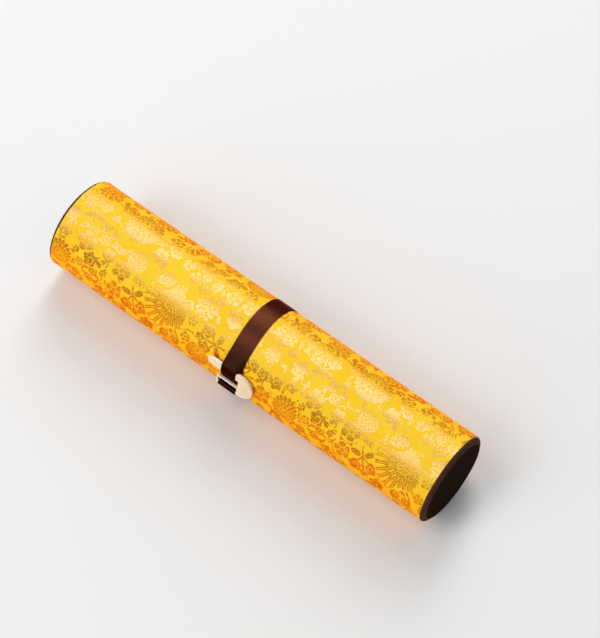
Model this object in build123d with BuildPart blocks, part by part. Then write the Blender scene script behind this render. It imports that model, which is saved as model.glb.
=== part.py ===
from build123d import *
import os
from math import acos, atan2, cos, degrees, hypot, radians, sin, sqrt

# A mounted hand scroll, rolled up and tied, lying on its side. Millimetres.
# X runs along the roll, Y from front to back, Z up. The origin is the middle of the flat spot
# that the soft roll lies on. Angles in the section are measured from +Y towards +Z.

# Paper roll
roll_length = 345.0
roll_radius = 36.75
sheet_thickness = 0.5
flat_depth = 0.5
flat_bend = 6.0

# Roller rod, and the discs on its ends
rod_radius = 7.0
rod_clearance = 0.1
tenon_radius = 4.5
tenon_length = 2.0
disc_thickness = 3.5
disc_floor_gap = 0.05
disc_rim_width = 1.4
disc_bevel_height = 4.0
disc_rim_rounding = 0.5
disc_face_rounding = 1.2

# Stave in the hem along the sheet's free edge
hem_angle = -39.5
hem_thickness = 0.5
stave_radius = 3.65
stave_height = 2.5
stave_clearance = 0.05

# Tie ribbon
ribbon_width = 16.4
ribbon_shift = -0.8
ribbon_thickness = 0.6
ribbon_gap = 0.05
ribbon_fold = 0.4
groove_depth = 0.3
groove_side_gap = 0.3
sewn_angle = 15.0
flap_lead = 5.5
flap_length = 7.0

# Clasp, a flat plate. Its u runs along the roll from the middle, its v up round the front.
clasp_angle = 168.0
clasp_thickness = 2.4
clasp_gap = 0.1
clasp_rounding = 0.5
clasp_drop = 11.5
low_bar_height = 2.6
slot_height = 4.0
thin_bar_height = 1.5
slit_height = 7.2
tongue_height = 7.1
tongue_overhang = 11.5
tongue_corner = 3.0
slot_side_gap = 0.25
slot_corner = 0.5
frame_stem = 1.5
frame_corner = 1.2
slit_margin = 0.35
slit_corner = 1.2
head_width = 13.4

# The roll's outline is two half circles that meet in a step as high as the sheet is thick
front_radius = roll_radius - sheet_thickness / 2
axis_height = front_radius - flat_depth
axis = (0.0, axis_height)


def direction(angle):
    return (cos(radians(angle)), sin(radians(angle)))


def away(centre, angle, distance):
    """The point at a distance from the centre, in the direction of the angle."""
    step = direction(angle)
    return (centre[0] + distance * step[0], centre[1] + distance * step[1])


def angle_to(centre, point):
    return degrees(atan2(point[1] - centre[1], point[0] - centre[0])) % 360


def distance_to(centre, point):
    return hypot(point[0] - centre[0], point[1] - centre[1])


back_centre = away(axis, hem_angle, sheet_thickness / 2)
hem_radius = stave_radius + hem_thickness
hem_top = front_radius + 2 * hem_thickness + stave_height
hem_centre = away(axis, hem_angle, hem_top - hem_radius)

# Two layers of ribbon pass under the roll, so the groove is deeper there than elsewhere
layer_pitch = ribbon_thickness + ribbon_gap
bed_radius = front_radius - groove_depth
bed_floor = 2 * layer_pitch + ribbon_gap
ribbon_left = ribbon_shift - ribbon_width / 2
ribbon_right = ribbon_shift + ribbon_width / 2
groove_left = ribbon_left - groove_side_gap
groove_right = ribbon_right + groove_side_gap


def roll_section(inset, floor_height):
    """The outline of the roll with its hem, drawn smaller by the inset and flat at the floor."""
    below = 2 * roll_radius
    with BuildLine() as outline:
        CenterArc(axis, front_radius - inset, hem_angle, -180)
        CenterArc(back_centre, roll_radius - inset, hem_angle + 180, -180)
        Line(
            away(back_centre, hem_angle, roll_radius - inset),
            away(axis, hem_angle, front_radius - inset),
        )
    with BuildSketch() as section:
        make_face(outline.line.edges())
        with Locations((0, floor_height - below / 2)):
            Rectangle(2 * below, below, mode=Mode.SUBTRACT)
        fillet(section.vertices().group_by(Axis.Y)[0], flat_bend)
        with Locations(hem_centre):
            Circle(hem_radius)
    return section.sketch


whole_section = roll_section(0, 0)
waist_section = roll_section(groove_depth, bed_floor)

with BuildPart() as paper_roll:
    with BuildSketch(Plane.YZ.offset(-roll_length / 2)):
        add(whole_section)
    extrude(amount=groove_left + roll_length / 2)
    with BuildSketch(Plane.YZ.offset(groove_left)):
        add(waist_section)
    extrude(amount=groove_right - groove_left)
    with BuildSketch(Plane.YZ.offset(groove_right)):
        add(whole_section)
    extrude(amount=roll_length / 2 - groove_right)
    # The bore for the rod
    with BuildSketch(Plane.YZ):
        with Locations(axis):
            Circle(rod_radius + rod_clearance)
    extrude(amount=roll_length / 2, both=True, mode=Mode.SUBTRACT)
    # The hem's hollow for the stave
    with BuildSketch(Plane.YZ):
        with Locations(hem_centre):
            Circle(stave_radius + stave_clearance)
        hollow_base = front_radius + hem_thickness - stave_clearance
        with Locations(away(axis, hem_angle, hollow_base - roll_radius / 2)):
            Rectangle(roll_radius, roll_radius, rotation=hem_angle, mode=Mode.SUBTRACT)
    extrude(amount=roll_length / 2, both=True, mode=Mode.SUBTRACT)
paper_roll.part.label = "paper_roll"

with BuildPart() as roller_rod:
    with BuildSketch(Plane.YZ):
        with Locations(axis):
            Circle(rod_radius)
    extrude(amount=roll_length / 2, both=True)
    with BuildSketch(Plane.YZ):
        with Locations(axis):
            Circle(tenon_radius)
    extrude(amount=roll_length / 2 + tenon_length, both=True)
roller_rod.part.label = "roller_rod"

# The stave is half round, with its flat side towards the roll
with BuildPart() as stave:
    with BuildSketch(Plane.YZ):
        with Locations(hem_centre):
            Circle(stave_radius)
        stave_base = front_radius + hem_thickness
        with Locations(away(axis, hem_angle, stave_base - roll_radius / 2)):
            Rectangle(roll_radius, roll_radius, rotation=hem_angle, mode=Mode.SUBTRACT)
    extrude(amount=roll_length / 2, both=True)
stave.part.label = "stave"

# A turned disc with a bevelled rim and a blind socket for the rod's tenon
disc_radius = axis_height - disc_floor_gap
socket_radius = tenon_radius + rod_clearance
socket_depth = tenon_length + rod_clearance
disc_plane = Plane((roll_length / 2, 0, axis_height), x_dir=(1, 0, 0), z_dir=(0, -1, 0))

with BuildPart() as right_end_disc:
    with BuildSketch(disc_plane) as disc_half:
        with BuildLine():
            Polyline(
                (0, 0),
                (0, disc_radius),
                (disc_rim_width, disc_radius),
                (disc_thickness, disc_radius - disc_bevel_height),
                (disc_thickness, 0),
                close=True,
            )
        make_face()
        rim_corner = (disc_rim_width, disc_radius)
        face_corner = (disc_thickness, disc_radius - disc_bevel_height)
        fillet(disc_half.vertices().sort_by_distance(rim_corner)[0], disc_rim_rounding)
        fillet(disc_half.vertices().sort_by_distance(face_corner)[0], disc_face_rounding)
    revolve(axis=Axis((0, 0, axis_height), (1, 0, 0)))
    with BuildSketch(Plane.YZ.offset(roll_length / 2)):
        with Locations(axis):
            Circle(socket_radius)
    extrude(amount=socket_depth, mode=Mode.SUBTRACT)
right_end_disc.part.label = "right_end_disc"

with BuildPart() as left_end_disc:
    mirror(right_end_disc.part, about=Plane.YZ)
left_end_disc.part.label = "left_end_disc"

# Centre lines of the ribbon's two layers round the roll, and of the layers over the hem
half_ribbon = ribbon_thickness / 2
inner_radius = bed_radius + ribbon_gap + half_ribbon
outer_radius = inner_radius + layer_pitch
inner_hem_radius = hem_radius + ribbon_gap + half_ribbon
outer_hem_radius = inner_hem_radius + layer_pitch
back_radius = inner_radius + sheet_thickness / 2
inner_height = bed_floor - ribbon_gap - half_ribbon
outer_height = inner_height - layer_pitch

# The clasp's plate stands clear of the layer that passes behind it
clasp_back = inner_radius + half_ribbon + clasp_gap
clasp_front = clasp_back + clasp_thickness
low_bar_top = low_bar_height - clasp_drop
thin_bar_bottom = low_bar_top + slot_height
thin_bar_top = thin_bar_bottom + thin_bar_height
tongue_bottom = thin_bar_top + slit_height
tongue_top = tongue_bottom + tongue_height
slot_left = ribbon_left - slot_side_gap
slot_right = ribbon_right + slot_side_gap
frame_left = slot_left - frame_stem
tongue_left = ribbon_left - tongue_overhang
slit_end = slot_right + slit_margin
head_radius = (tongue_top + clasp_drop) / 2
head_u = slit_end + head_width - head_radius
head_v = tongue_top - head_radius
normal_y, normal_z = direction(clasp_angle)


def on_clasp(v, n):
    """The point of the section at height v up the clasp and distance n out from the axis."""
    return (n * normal_y + v * normal_z, axis_height + n * normal_z - v * normal_y)


def place(u_start, u_end, v_start, v_end):
    return Locations(((u_start + u_end) / 2, (v_start + v_end) / 2))


clasp_plane = Plane(
    (0, *on_clasp(0, clasp_back)), x_dir=(1, 0, 0), z_dir=(0, normal_y, normal_z)
)

with BuildPart() as clasp:
    with BuildSketch(clasp_plane):
        with Locations((head_u, head_v)):
            Circle(head_radius)
        with place(slit_end, head_u, -clasp_drop, tongue_top):
            Rectangle(head_u - slit_end, 2 * head_radius)
        # The frame round the slot, with its right corners inside the head
        frame_end = head_u + frame_corner
        with place(frame_left, frame_end, -clasp_drop, thin_bar_top):
            RectangleRounded(frame_end - frame_left, thin_bar_top + clasp_drop, frame_corner)
        # The tongue, with its right corners inside the head
        with place(tongue_left, head_u, tongue_bottom, tongue_top):
            RectangleRounded(head_u - tongue_left, tongue_height, tongue_corner)
        with place(head_u - tongue_corner, head_u, tongue_bottom, tongue_top):
            Rectangle(tongue_corner, tongue_height)
        # The open slit between them, and the closed slot
        slit_mouth = tongue_left - slit_corner
        with place(slit_mouth, slit_end, thin_bar_top, tongue_bottom):
            RectangleRounded(slit_end - slit_mouth, slit_height, slit_corner, mode=Mode.SUBTRACT)
        with place(slot_left, slot_right, low_bar_top, thin_bar_bottom):
            RectangleRounded(slot_right - slot_left, slot_height, slot_corner, mode=Mode.SUBTRACT)
    extrude(amount=clasp_thickness)
    flat_faces = clasp.faces().filter_by(Axis((0, 0, 0), (0, normal_y, normal_z)))
    fillet(flat_faces.edges(), clasp_rounding)
clasp.part.label = "clasp"


def leaving(centre, radius, point):
    """The angle at which the ribbon, wound clockwise, leaves the circle for the point."""
    return angle_to(centre, point) + degrees(acos(radius / distance_to(centre, point)))


def landing(centre, radius, point):
    """The angle at which the ribbon, wound clockwise, lands on the circle from the point."""
    return angle_to(centre, point) - degrees(acos(radius / distance_to(centre, point)))


def half_spread(centre, radius, hem_layer_radius):
    """Half the angle between the two straight stretches on either side of the hem."""
    return degrees(acos((radius - hem_layer_radius) / distance_to(centre, hem_centre)))


def arc(centre, radius, start, stop):
    """Ribbon wound round the centre, clockwise from start to stop."""
    CenterArc(centre, radius, start, stop - start)


def under_roll(radius, height, start, stop):
    """Ribbon wound round the axis from start, flat at the height under the roll, to stop."""
    half_flat = degrees(acos((axis_height - height) / radius))
    arc(axis, radius, start, -90 + half_flat)
    Line(away(axis, -90 + half_flat, radius), away(axis, -90 - half_flat, radius))
    arc(axis, radius, -90 - half_flat, stop)
    bend = flat_bend + radius - bed_radius
    return [
        (away(axis, -90 + half_flat, radius), bend),
        (away(axis, -90 - half_flat, radius), bend),
    ]


# Where the ribbon passes the clasp: behind the thin bar and up over the tongue
clear = ribbon_gap + half_ribbon
bar_point = on_clasp(thin_bar_top, clasp_back - clear - ribbon_gap / 2)
tongue_foot = on_clasp(tongue_bottom, clasp_front + clear)
tongue_tip = on_clasp(tongue_top + clear / 2, clasp_front + clear)
# and round the low bar
slot_v = low_bar_top + clear + ribbon_gap
bar_back = on_clasp(slot_v, sqrt(outer_radius**2 - slot_v**2))
bar_front = on_clasp(slot_v, clasp_front + clear)
bar_foot = on_clasp(-clasp_drop - clear, clasp_front + clear)
flap_radius = outer_radius + layer_pitch
flap_top = clasp_angle + degrees((clasp_drop + flap_lead) / flap_radius)
flap_bottom = flap_top + degrees(flap_length / flap_radius)

with BuildPart() as tie_ribbon:
    with BuildSketch(Plane.YZ.offset(ribbon_left)):
        with BuildLine() as path:
            # Sewn to the hem, then once under the roll and up behind the clasp
            spread = half_spread(axis, inner_radius, inner_hem_radius)
            off_hem = hem_angle - spread
            arc(hem_centre, inner_hem_radius, hem_angle + sewn_angle, off_hem)
            Line(away(hem_centre, off_hem, inner_hem_radius), away(axis, off_hem, inner_radius))
            lift = leaving(axis, inner_radius, bar_point) - 360
            bends = under_roll(inner_radius, inner_height, off_hem, lift)
            # Out through the slit, over the tongue and over the top
            land = landing(back_centre, back_radius, tongue_tip)
            Polyline(
                away(axis, lift, inner_radius),
                bar_point,
                tongue_foot,
                tongue_tip,
                away(back_centre, land, back_radius),
            )
            # Down the back, over the hem and a second time under the roll
            spread = half_spread(back_centre, back_radius, outer_hem_radius)
            on_hem = hem_angle + spread
            arc(back_centre, back_radius, land, on_hem)
            Line(
                away(back_centre, on_hem, back_radius),
                away(hem_centre, on_hem, outer_hem_radius),
            )
            spread = half_spread(axis, outer_radius, outer_hem_radius)
            off_hem = hem_angle - spread
            arc(hem_centre, outer_hem_radius, on_hem, off_hem)
            Line(
                away(hem_centre, off_hem, outer_hem_radius),
                away(axis, off_hem, outer_radius),
            )
            back_of_bar = angle_to(axis, bar_back) - 360
            bends += under_roll(outer_radius, outer_height, off_hem, back_of_bar)
            # Out through the slot, down over the low bar and on as a sewn flap
            Polyline(bar_back, bar_front, bar_foot, away(axis, flap_top, flap_radius))
            CenterArc(axis, flap_radius, flap_top, flap_bottom - flap_top)
            for corner, bend in bends:
                fillet(path.vertices().sort_by_distance(corner)[0], bend)
            folds = [bar_point, tongue_foot, tongue_tip, bar_back, bar_front, bar_foot]
            for corner in folds + [away(axis, flap_top, flap_radius)]:
                fold = ribbon_fold + half_ribbon
                fillet(path.vertices().sort_by_distance(corner)[0], fold)
        trace(line_width=ribbon_thickness)
    extrude(amount=ribbon_width)
tie_ribbon.part.label = "tie_ribbon"

os.makedirs("parts", exist_ok=True)
export_step(paper_roll.part, "parts/paper_roll.step")
export_step(roller_rod.part, "parts/roller_rod.step")
export_step(left_end_disc.part, "parts/left_end_disc.step")
export_step(right_end_disc.part, "parts/right_end_disc.step")
export_step(stave.part, "parts/stave.step")
export_step(tie_ribbon.part, "parts/tie_ribbon.step")
export_step(clasp.part, "parts/clasp.step")
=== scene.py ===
import logging
import math
from collections.abc import Callable, Iterator
from contextlib import contextmanager
from dataclasses import dataclass, field
from enum import Enum

import bpy
import numpy as np
from mathutils import Matrix, Vector


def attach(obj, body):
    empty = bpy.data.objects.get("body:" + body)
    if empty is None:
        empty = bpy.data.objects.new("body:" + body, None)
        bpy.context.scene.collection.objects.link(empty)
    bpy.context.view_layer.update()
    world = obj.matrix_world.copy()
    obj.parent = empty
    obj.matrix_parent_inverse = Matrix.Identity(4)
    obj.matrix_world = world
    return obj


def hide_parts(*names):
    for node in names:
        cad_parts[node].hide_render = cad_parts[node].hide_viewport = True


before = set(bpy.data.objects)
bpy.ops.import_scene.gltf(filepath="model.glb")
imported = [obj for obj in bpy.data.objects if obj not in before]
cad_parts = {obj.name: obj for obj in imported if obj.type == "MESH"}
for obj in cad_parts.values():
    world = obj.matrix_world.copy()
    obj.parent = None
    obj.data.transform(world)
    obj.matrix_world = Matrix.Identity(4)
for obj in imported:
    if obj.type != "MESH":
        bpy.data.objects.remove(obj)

log = logging.getLogger("scroll")
MM = 0.001
AXIS_MM = 36.0
MM_PER_DEGREE = 0.6405
FAR_MM = 1e9
WHITE = (1.0, 1.0, 1.0, 1.0)
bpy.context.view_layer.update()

Tree = bpy.types.NodeTree
Node = bpy.types.Node
Socket = bpy.types.NodeSocket
Piece = bpy.types.Object


@dataclass
class Signal:
    """A number running through a node tree. Arithmetic on it adds Math nodes.

    Attributes:
        tree: The node tree that the number runs through.
        socket: The output socket that gives the number.
    """

    tree: Tree
    socket: Socket

    def math(self, operation: str, *others: "Number") -> "Signal":
        """Add one Math node.

        Args:
            operation: Blender's name of the operation.
            others: The second and third operands.

        Returns:
            The node's result.
        """
        bench = Bench(self.tree)
        values = dict(enumerate((self, *others)))
        return bench.signal(bench.node("Math", values, operation=operation).outputs[0])

    def __add__(self, other: "Number") -> "Signal":
        """The sum of two numbers."""
        return self.math("ADD", other)

    def __sub__(self, other: "Number") -> "Signal":
        """The difference of two numbers."""
        return self.math("SUBTRACT", other)

    def __mul__(self, other: "Number") -> "Signal":
        """The product of two numbers."""
        return self.math("MULTIPLY", other)

    def __truediv__(self, other: "Number") -> "Signal":
        """The quotient of two numbers."""
        return self.math("DIVIDE", other)

    def __abs__(self) -> "Signal":
        """The number without its sign."""
        return self.math("ABSOLUTE")

    def flipped(self) -> "Signal":
        """One minus the number."""
        return self * -1.0 + 1.0

    def fract(self) -> "Signal":
        """The part after the point."""
        return self.math("FRACT")

    def cos(self) -> "Signal":
        """The cosine."""
        return self.math("COSINE")

    def wave(self) -> "Signal":
        """The cosine, moved into the range from 0 to 1."""
        return self.cos() * 0.5 + 0.5

    def off_half(self) -> "Signal":
        """How far the part after the point is from one half."""
        return abs(self.fract() - 0.5)

    def sqrt(self) -> "Signal":
        """The square root."""
        return self.math("SQRT")

    def max(self, other: "Number") -> "Signal":
        """The larger of two numbers."""
        return self.math("MAXIMUM", other)

    def min(self, other: "Number") -> "Signal":
        """The smaller of two numbers."""
        return self.math("MINIMUM", other)

    def above(self, limit: "Number", soft: float = 0.03) -> "Signal":
        """A mask from 0 to 1 with an edge so soft, which is one above the limit."""
        return ((self - limit) / soft + 0.5).max(0.0).min(1.0)

    def below(self, limit: "Number", soft: float = 0.03) -> "Signal":
        """A mask from 0 to 1 with an edge so soft, which is one below the limit."""
        return self.above(limit, soft).flipped()

    def blend(self, low: float, high: float) -> "Signal":
        """The number read as a share of the way from low to high."""
        return self * (high - low) + low


Number = Signal | float


@dataclass
class Bench:
    """A node tree, with short ways to add and join its nodes."""

    tree: Tree

    def feed(self, node: Node, values: dict) -> None:
        """Set or link a node's sockets.

        Args:
            node: The node.
            values: A Signal, a socket or a constant for each socket, by its name or number.
        """
        for name, value in values.items():
            value = value.socket if isinstance(value, Signal) else value
            if isinstance(value, Socket):
                self.tree.links.new(value, node.inputs[name])
            else:
                node.inputs[name].default_value = value

    def node(self, kind: str, inputs: dict | None = None, **settings: object) -> Node:
        """Add a node.

        Args:
            kind: The node's type, without the word ShaderNode.
            inputs: What its sockets get, as feed takes it.
            settings: The node's own settings.

        Returns:
            The node.
        """
        made = self.tree.nodes.new("ShaderNode" + kind)
        for name, value in settings.items():
            setattr(made, name, value)
        self.feed(made, inputs or {})
        return made

    def signal(self, socket: Socket) -> Signal:
        """Read an output socket as a number."""
        return Signal(self.tree, socket)

    def split(self, vector: Socket) -> tuple[Signal, Signal, Signal]:
        """The three parts of a vector."""
        parts = self.node("SeparateXYZ", {"Vector": vector})
        return tuple(self.signal(part) for part in parts.outputs)

    def join(self, x: Number, y: Number, z: Number = 0.0) -> Socket:
        """The vector of three numbers."""
        return self.node("CombineXYZ", {"X": x, "Y": y, "Z": z}).outputs[0]

    def place(self) -> Socket:
        """The place on the piece, in metres."""
        return self.node("TexCoord").outputs["Object"]

    def from_axis(self) -> tuple[Signal, Signal, Signal, Signal]:
        """Measure the place on the piece from the roll's axis, in metres.

        Returns:
            Its x, y and z, and how far it is from the axis.
        """
        x, y, z = self.split(self.place())
        z = z - AXIS_MM * MM
        return x, y, z, (y * y + z * z).sqrt()

    def cloth(self) -> tuple[Signal, Signal]:
        """The place on the cloth as it lies flat, in metres."""
        return self.split(self.node("UVMap", uv_map="cloth").outputs[0])[:2]

    def noise(self, place: Socket, scale: float = 1.0, detail: float = 2.0) -> Signal:
        """Soft noise around one half.

        Args:
            place: The vector that it is read at.
            scale: How many features there are in a unit of the vector.
            detail: How many finer layers it has.

        Returns:
            The noise, from 0 to 1.
        """
        inputs = {"Vector": place, "Scale": scale, "Detail": detail}
        return self.signal(self.node("TexNoise", inputs).outputs[0])

    def grain(self, place: tuple, stretch: tuple, detail: float = 2.0) -> Signal:
        """Noise with so many features in a unit of each part of a place."""
        parts = (part * count for part, count in zip(place, stretch))
        return self.noise(self.join(*parts), detail=detail)

    def mix(self, share: Number, low: tuple | Socket, high: tuple | Socket) -> Socket:
        """Mix two colours, of which share gives how much there is of the second."""
        low, high = (c if isinstance(c, Socket) else (*c, 1.0) for c in (low, high))
        return self.node("Mix", {0: share, 6: low, 7: high}, data_type="RGBA").outputs[2]

    def bump(self, height_mm: Signal, strength: float = 1.0) -> Socket:
        """The normal of a surface with a relief of so many millimetres."""
        inputs = {"Height": height_mm, "Distance": MM, "Strength": strength}
        return self.node("Bump", inputs).outputs[0]

    def seen_by(self, *rays: str) -> Signal:
        """A mask that is one for rays of the kinds named.

        Args:
            rays: The kinds of rays, as Light Path names them.

        Returns:
            The mask.
        """
        path = self.node("LightPath")
        mask, *others = (self.signal(path.outputs[f"Is {ray} Ray"]) for ray in rays)
        for other in others:
            mask = mask.max(other)
        return mask


def mask_group(name: str, inputs: dict[str, str], draw: Callable[..., Signal]) -> Tree:
    """Make a node group that draws one mask.

    Args:
        name: The group's name.
        inputs: The kind of each input socket, by name.
        draw: What draws the mask. It is given the group's bench and its input sockets.

    Returns:
        The group's tree.
    """
    tree = bpy.data.node_groups.new(name, "ShaderNodeTree")
    for label, kind in inputs.items():
        tree.interface.new_socket(label, in_out="INPUT", socket_type="NodeSocket" + kind)
    tree.interface.new_socket("Thread", in_out="OUTPUT", socket_type="NodeSocketFloat")
    start, end = (tree.nodes.new("NodeGroup" + way) for way in ("Input", "Output"))
    bench = Bench(tree)
    bench.feed(end, {0: draw(bench, *start.outputs[: len(inputs)])})
    return tree


def direction(angle_deg: np.ndarray | float) -> np.ndarray:
    """The y and z of directions in the section, given in degrees from the back by the top."""
    angle = np.radians(angle_deg)
    return np.stack([np.cos(angle), np.sin(angle)], -1)


class Motif(Enum):
    """The figures woven into the brocade."""

    CHRYSANTHEMUM = 1
    PEONY = 2
    BLOSSOM = 3
    RUYI = 4
    CURL = 5
    SPRIG = 6
    LEAF = 7
    DAISY = 8


@dataclass(frozen=True)
class Figure:
    """One figure of the brocade's repeat.

    Attributes:
        kind: Which figure it is.
        x_mm: Its place along the roll.
        turn_deg: Its place round the roll, from the front (0) over the top (90).
        reach_mm: Its radius.
        tilt_deg: How far it is turned.
    """

    kind: Motif
    x_mm: float
    turn_deg: float
    reach_mm: float
    tilt_deg: float

    @property
    def round_mm(self) -> float:
        """Its place round the roll in millimetres."""
        return self.turn_deg * MM_PER_DEGREE


@dataclass
class FigureDrawer:
    """Draws the figures by formula, each in its own unit disc.

    Attributes:
        x: The place across the disc.
        y: The place up the disc.
        mm: The disc's radius in millimetres.
        soft_mm: How soft the edges of the woven figures are.
        gap_mm: The ground left open between two petals.
    """

    x: Signal
    y: Signal
    mm: Number
    soft_mm: float = 0.42
    gap_mm: float = 0.45

    @classmethod
    def group(cls, kind: Motif) -> Tree:
        """Make the node group of one figure.

        Args:
            kind: The figure.

        Returns:
            A group from X and Y in the unit disc, and its reach in millimetres, to a mask.
        """
        name = kind.name.lower()

        def draw(bench: Bench, *sockets: Socket) -> Signal:
            """Draw the figure from the group's inputs."""
            return getattr(cls(*(bench.signal(socket) for socket in sockets)), name)()

        return mask_group(name, dict.fromkeys(("X", "Y", "Reach"), "Float"), draw)

    @staticmethod
    def polar(x: Signal, y: Signal) -> tuple[Signal, Signal]:
        """Distance from the middle, and the angle in whole turns from -0.5 to 0.5."""
        return (x * x + y * y).sqrt(), y.math("ARCTAN2", x) / math.tau

    @staticmethod
    def across(turn: Signal, count: int, shift: float = 0.0) -> Signal:
        """How far off a petal's middle a turn is: 0 there and 1 between two of the petals."""
        return (turn * count + shift).off_half() * 2.0

    def inside(self, depth: Signal, margin_mm: float = 0.0) -> Signal:
        """A mask of the places that lie deeper than a margin in millimetres."""
        return (depth * self.mm).above(margin_mm, self.soft_mm)

    def stroke(self, distance: Signal, width_mm: float) -> Signal:
        """A line of a width in millimetres along the places where the distance is zero."""
        return self.inside(abs(distance), width_mm / 2).flipped()

    def eccentric(self, low: float) -> tuple[Signal, Signal, Signal]:
        """Polar coordinates about a middle that lies low in the disc.

        Args:
            low: How far the middle lies below the disc's own.

        Returns:
            The share of the way out to the disc's edge, the turn, and the length of that way.
        """
        y = self.y + low
        r, turn = self.polar(self.x, y)
        rise = y / r.max(0.001) * low
        way = rise + (rise * rise + (1.0 - low * low)).sqrt()
        return r / way, turn, way

    def petals(
        self, polar: tuple, count: int, shift: float, span: tuple, inset_mm: float = 0.0
    ) -> Signal:
        """A round of petals with rounded tips.

        Args:
            polar: The share of the way out, the turn, and the length of that way.
            count: How many petals the round has.
            shift: How far they are turned, as a share of one petal.
            span: Where the round starts and stops, as shares of the way out.
            inset_mm: How much smaller each petal is all round.

        Returns:
            The petals' mask.
        """
        t, turn, way = polar
        across = self.across(turn, count, shift)
        drop = across * across * (math.pi / count)
        tip = self.inside((drop * -1.0 + span[1] - t) * way, inset_mm)
        foot = self.inside((t - span[0] + drop) * way, self.gap_mm + inset_mm)
        side = across.flipped() * t * way * (math.pi / count)
        return tip * foot * self.inside(side, self.gap_mm / 2 + inset_mm)

    def flower(self, polar: tuple, rounds: tuple, hollow_mm: float = 0.0) -> Signal:
        """Rounds of petals about a button.

        Args:
            polar: The coordinates that the petals are drawn in.
            rounds: Each round's count, shift and span.
            hollow_mm: How wide the petals' outlines are, or 0 where the petals are full.

        Returns:
            The flower's mask.
        """
        drawn = self.inside(polar[0] * polar[2], 1.4).flipped()
        for petals in rounds:
            full = self.petals(polar, *petals)
            if hollow_mm:
                full = full * self.petals(polar, *petals, hollow_mm).flipped()
            drawn = drawn.max(full)
        return drawn

    def spiral(self, x: Signal, y: Signal, pitch: float, outer: float, lay: tuple) -> Signal:
        """A line wound into a spiral.

        Args:
            x: The place across, from the spiral's middle.
            y: The place up, from the spiral's middle.
            pitch: The distance between two turns.
            outer: The spiral's radius.
            lay: Which way it turns, where it starts, and the line's width in millimetres.

        Returns:
            The line's mask.
        """
        way, start, width_mm = lay
        r, turn = self.polar(x, y)
        wound = (r / pitch + turn * way + start).fract() - 0.5
        return self.stroke(wound * pitch, width_mm) * r.below(outer, 0.02)

    def head(self, x: Signal, y: Signal, radius: float) -> Signal:
        """A lobed disc with a spiral of open ground in it.

        Args:
            x: The place across, from the disc's middle.
            y: The place up, from the disc's middle.
            radius: The disc's radius, as a share of the reach.

        Returns:
            The disc's mask.
        """
        r, turn = self.polar(x, y)
        edge = ((turn * (5.0 * math.tau) + r * 6.0).cos() * 0.13 + 0.9) * radius
        cut = self.spiral(x, y, radius * 0.66, radius * 0.66, (1.0, 0.2, 0.7))
        return self.inside(edge - r) * cut.flipped()

    def chrysanthemum(self) -> Signal:
        """A many-petalled flower seen from the side."""
        rounds = ((23, 0.0, (0.66, 1.0)), (17, 0.5, (0.42, 0.68)), (11, 0.2, (0.2, 0.44)))
        return self.flower(self.eccentric(0.34), rounds)

    def daisy(self) -> Signal:
        """A large open flower of long petals, each drawn by its outline."""
        rounds = ((25, 0.0, (0.5, 1.0)), (19, 0.5, (0.26, 0.6)), (11, 0.2, (0.08, 0.32)))
        return self.flower(self.eccentric(0.45), rounds, hollow_mm=1.15)

    def peony(self) -> Signal:
        """A full, open flower of wavy petals hatched with veins.

        Returns:
            The flower's mask.
        """
        r, turn = self.polar(self.x, self.y)
        t = r * ((turn * (5 * math.tau) + r * 5.0).cos() * 0.07 + 1.0)
        rounds = ((11, 0.3, (0.64, 0.95)), (8, 0.0, (0.38, 0.68)), (5, 0.4, (0.14, 0.42)))
        drawn = self.inside(t, 1.5).flipped()
        for count, shift, (foot, tip) in rounds:
            vein = (self.across(turn, count, shift) * 2.5 + 0.5).off_half().below(0.17, 0.12)
            clear = ((t - foot) * self.mm).above(1.6, 0.5) * ((t - tip) * self.mm).below(-1.6, 0.5)
            petals = self.petals((t, turn, 1.0), count, shift, (foot, tip))
            drawn = drawn.max(petals * (vein * clear).flipped())
        return drawn

    def blossom(self) -> Signal:
        """An open five-petalled flower with notched tips.

        Returns:
            The flower's mask.
        """
        r, turn = self.polar(self.x, self.y)
        across = self.across(turn, 5)
        notch = across.flipped().above(0.86, 0.1) * 0.08
        body = self.inside(across * across * -0.36 + 0.96 - notch - r)
        side = self.inside(across.flipped() * r * (math.pi / 5), 0.3)
        rays = (turn * 15.0).off_half().below(0.12, 0.08) * r.above(0.34) * r.below(0.62)
        eye = self.stroke(r - 0.26, 0.6)
        return body * side.max(r.below(0.2)) * rays.flipped() * eye.flipped()

    def ruyi(self) -> Signal:
        """A heart-shaped cloud head of two spirals.

        Returns:
            The cloud's mask.
        """
        side, y = abs(self.x), self.y
        curls = self.spiral(side - 0.42, y - 0.25, 0.26, 0.4, (1.0, 0.2, 1.8))
        heart, _ = self.polar(side, y * 1.05 + 0.28 - side.sqrt() * 0.62)
        inner = self.stroke(heart - 0.42, 1.2) * y.below(-0.1, 0.1)
        drop = (side * 2.4 + abs(y + 0.34) * 1.5).below(0.3)
        return curls.max(self.stroke(heart - 0.82, 1.8)).max(inner).max(drop)

    def curl(self) -> Signal:
        """A drifting cloud: two curls, head to tail.

        Returns:
            The cloud's mask.
        """
        turned = self.y.above(0.0, 0.0001) * 2.0 - 1.0
        x, y = self.x * turned, self.y * turned
        head = self.spiral(x - 0.14, y - 0.46, 0.27, 0.46, (-1.0, 0.0, 1.8))
        r, _ = self.polar(x + 0.36, y + 0.02)
        tail = self.stroke(r - 0.52, 1.6) * x.below(-0.1) * y.below(0.52)
        puff = self.spiral(x + 0.58, y - 0.58, 0.17, 0.27, (1.0, 0.3, 1.1))
        drop, _ = self.polar((x - 0.72) * 1.2, (y - 0.18) * 2.6)
        return head.max(tail).max(puff).max(drop.below(0.26))

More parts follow.
